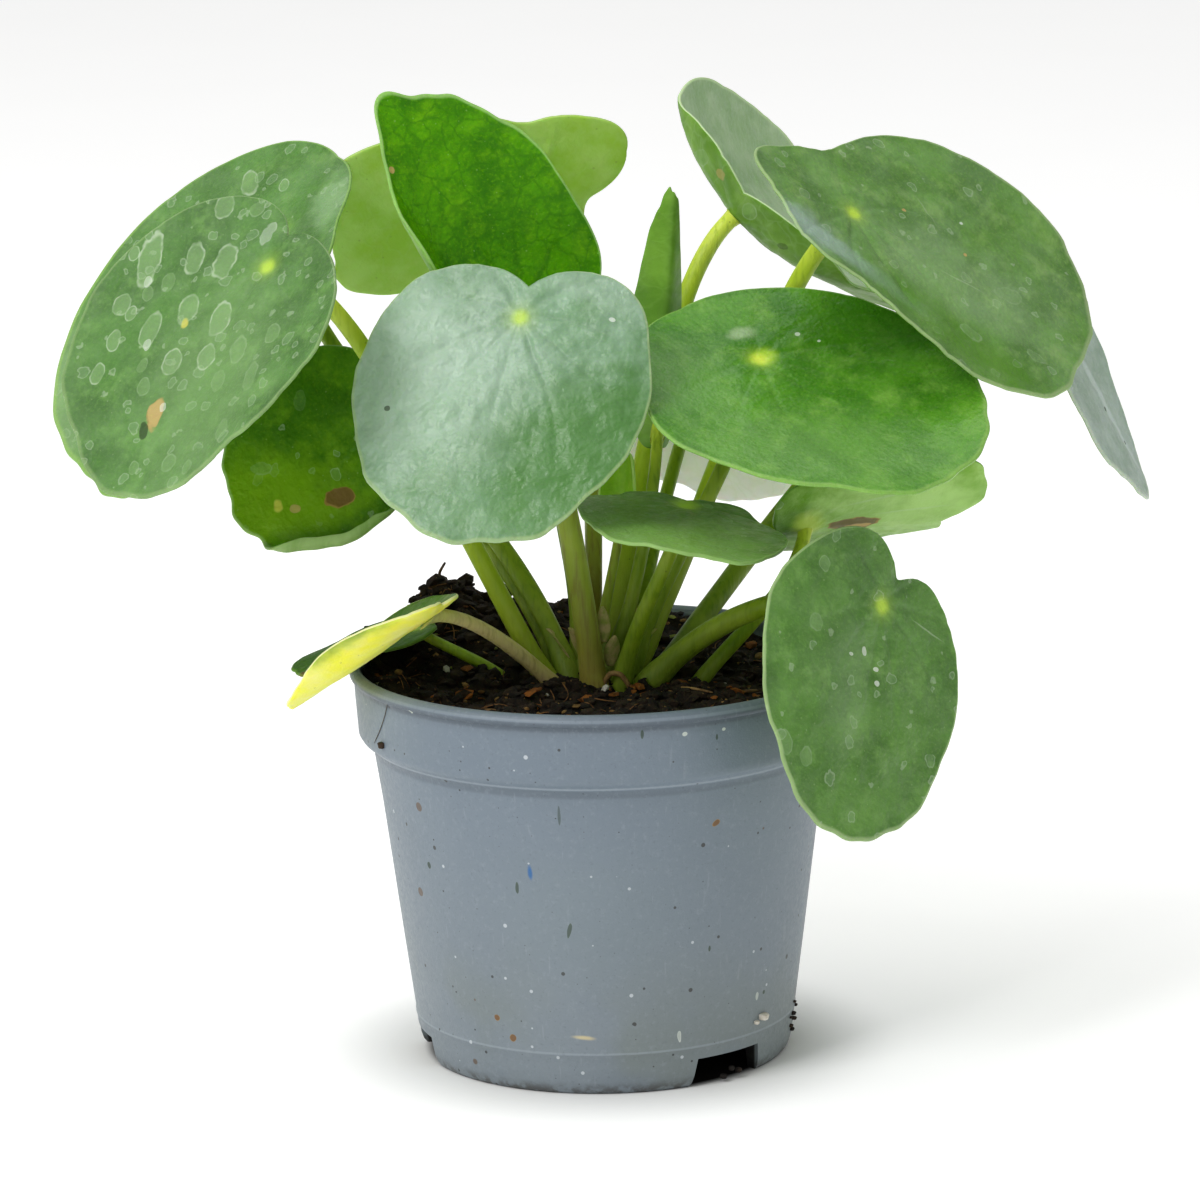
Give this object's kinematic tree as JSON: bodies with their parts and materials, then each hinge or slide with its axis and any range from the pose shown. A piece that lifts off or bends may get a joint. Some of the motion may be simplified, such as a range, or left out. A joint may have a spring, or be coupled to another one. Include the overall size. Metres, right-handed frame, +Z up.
{
  "type": "potted pilea plant",
  "caption": "Houseplant with round shield-shaped leaves on long stalks, standing in a tapered nursery pot filled with peat soil.",
  "frame": {"origin": "middle of the whole plant's box in plan, on the ground the pot stands on; the pot's own axis is close to it, towards the front", "axes": "+Z up, +X to the right and -Y towards the viewer as in the picture"},
  "size_m": [0.267, 0.1874, 0.2322],
  "materials": {
    "pot": "satin moulded plastic, grey-blue",
    "soil": "rough peat with bark and perlite",
    "crown": "matt green-brown stem",
    "leaf_glaucous": "satin grey-green leaf",
    "leaf_bright": "satin bright green leaf",
    "leaf_deep": "satin deep green leaf",
    "leaf_pale": "soft pale green leaf",
    "leaf_yellow": "yellowing leaf",
    "stalk": "satin yellow-green stalk",
    "stalk_tan": "satin tan stalk"
  },
  "bodies": {
    "root": {"pot": "pot", "soil": "soil", "crown": "crown", "blade_01": "leaf_glaucous", "petiole_01": "stalk", "blade_02": "leaf_bright", "petiole_02": "stalk", "blade_03": "leaf_glaucous", "petiole_03": "stalk", "blade_04": "leaf_glaucous", "petiole_04": "stalk", "blade_05": "leaf_glaucous", "petiole_05": "stalk", "blade_06": "leaf_glaucous", "petiole_06": "stalk", "blade_07": "leaf_bright", "petiole_07": "stalk", "blade_08": "leaf_deep", "petiole_08": "stalk", "blade_09": "leaf_bright", "petiole_09": "stalk", "blade_10": "leaf_pale", "petiole_10": "stalk", "blade_11": "leaf_bright", "petiole_11": "stalk", "blade_12": "leaf_deep", "petiole_12": "stalk", "blade_13": "leaf_glaucous", "petiole_13": "stalk", "blade_14": "leaf_bright", "petiole_14": "stalk", "blade_15": "leaf_yellow", "petiole_15": "stalk_tan", "blade_16": "leaf_deep", "petiole_16": "stalk", "blade_17": "leaf_pale", "petiole_17": "stalk", "blade_18": "leaf_pale", "petiole_18": "stalk"}
  },
  "joints": []
}
